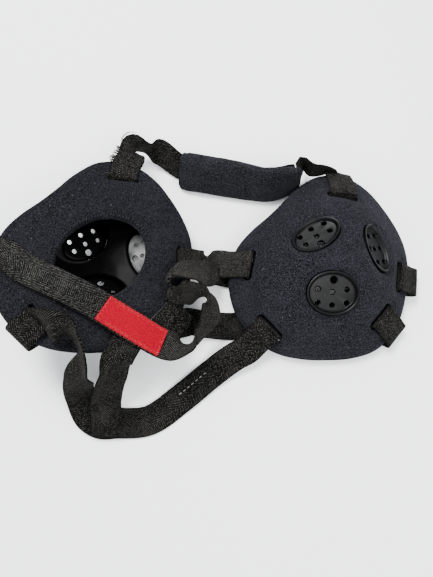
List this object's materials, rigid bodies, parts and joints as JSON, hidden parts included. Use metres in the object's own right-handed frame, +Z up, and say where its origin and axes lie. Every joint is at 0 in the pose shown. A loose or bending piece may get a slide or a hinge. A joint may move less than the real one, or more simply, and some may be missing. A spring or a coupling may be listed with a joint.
{
  "type": "wrestling ear guard",
  "caption": "Soft black ear guard with rigid vented ear cups, webbing straps with a chin loop and a padded forehead band, lying flat.",
  "frame": {"origin": "middle of the bounding box on the surface it lies on", "axes": "+Z up from the surface, +X from the left cup to the right cup, +Y towards the forehead pad"},
  "size_m": [0.2942, 0.2204, 0.0666],
  "materials": {
    "cover_cloth": "matt black neoprene cover",
    "pad_cloth": "matt black cloth over foam",
    "shell_plastic": "black moulded plastic, satin",
    "webbing": "dark herringbone webbing",
    "label_cloth": "red woven label, bare"
  },
  "bodies": {
    "root": {"left_cover": "cover_cloth", "left_shell": "shell_plastic", "left_pad": "pad_cloth", "right_cover": "cover_cloth", "right_shell": "shell_plastic", "right_pad": "pad_cloth", "forehead_pad": "pad_cloth", "forehead_strap": "webbing", "rear_upper_strap": "webbing", "rear_lower_strap": "webbing", "chin_strap": "webbing", "chin_tail": "webbing", "crown_strap": "webbing", "label": "label_cloth"}
  },
  "joints": []
}
